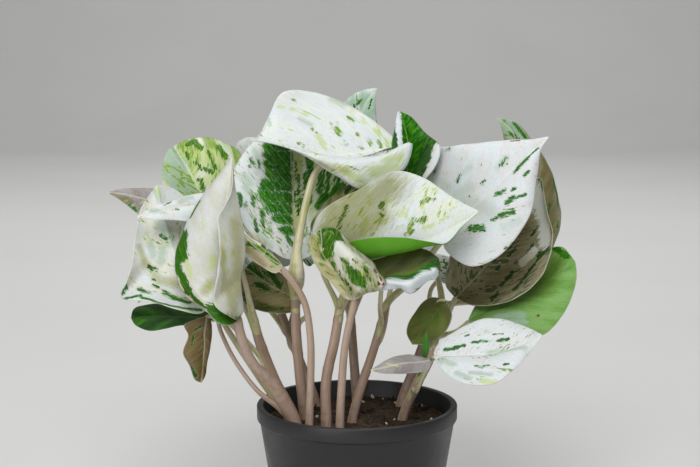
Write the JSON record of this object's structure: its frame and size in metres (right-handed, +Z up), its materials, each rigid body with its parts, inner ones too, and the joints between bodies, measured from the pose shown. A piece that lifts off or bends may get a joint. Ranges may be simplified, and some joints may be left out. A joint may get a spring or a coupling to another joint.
{
  "type": "potted pothos plant",
  "caption": "Bushy variegated pothos with white and green heart-shaped leaves on arching stalks, growing in a plain round nursery pot filled with soil.",
  "frame": {"origin": "centre of the flat underside of the pot", "axes": "+Z up along the pot's axis, -Y towards the side shown in the picture, +X to the right of that side"},
  "size_m": [0.2772, 0.2033, 0.2918],
  "materials": {
    "pot_plastic": "near-black moulded plastic, slight sheen",
    "potting_soil": "rough dark soil",
    "stem_skin": "smooth tan and cream plant skin with brown scars",
    "leaf_blade": "white and green variegated leaf, soft waxy sheen",
    "young_leaf": "smooth green rolled leaf"
  },
  "bodies": {
    "root": {"pot": "pot_plastic", "soil": "potting_soil", "stem_left": "stem_skin", "stem_left_back": "stem_skin", "stem_centre_left": "stem_skin", "stem_centre": "stem_skin", "stem_right": "stem_skin", "stem_far_right": "stem_skin", "stem_back_right": "stem_skin", "stem_back": "stem_skin", "stem_back_left": "stem_skin", "leaf_top": "leaf_blade", "leaf_centre": "leaf_blade", "leaf_right": "leaf_blade", "leaf_top_right": "leaf_blade", "leaf_top_back": "leaf_blade", "leaf_left_front": "leaf_blade", "leaf_left": "leaf_blade", "leaf_left_upper": "leaf_blade", "leaf_far_left": "leaf_blade", "leaf_upper_left": "leaf_blade", "leaf_behind_left": "leaf_blade", "leaf_upright": "leaf_blade", "leaf_inner_left": "leaf_blade", "leaf_inner_shade": "leaf_blade", "leaf_right_tall": "leaf_blade", "leaf_right_low": "leaf_blade", "leaf_right_back": "leaf_blade", "leaf_low_right": "leaf_blade", "leaf_low_front": "leaf_blade", "leaf_spotted": "leaf_blade", "leaf_cupped": "leaf_blade", "leaf_low_left": "leaf_blade", "leaf_hanging": "leaf_blade", "leaf_inner_right": "leaf_blade", "leaf_behind_centre": "leaf_blade", "leaf_back_low_right": "leaf_blade", "leaf_back_high_right": "leaf_blade", "leaf_back_low": "leaf_blade", "leaf_back_high": "leaf_blade", "leaf_back_low_left": "leaf_blade", "leaf_back_high_left": "leaf_blade", "leaf_back_left": "leaf_blade", "leaf_inner_back_right": "leaf_blade", "leaf_inner_back_left": "leaf_blade", "shoot": "young_leaf"}
  },
  "joints": []
}
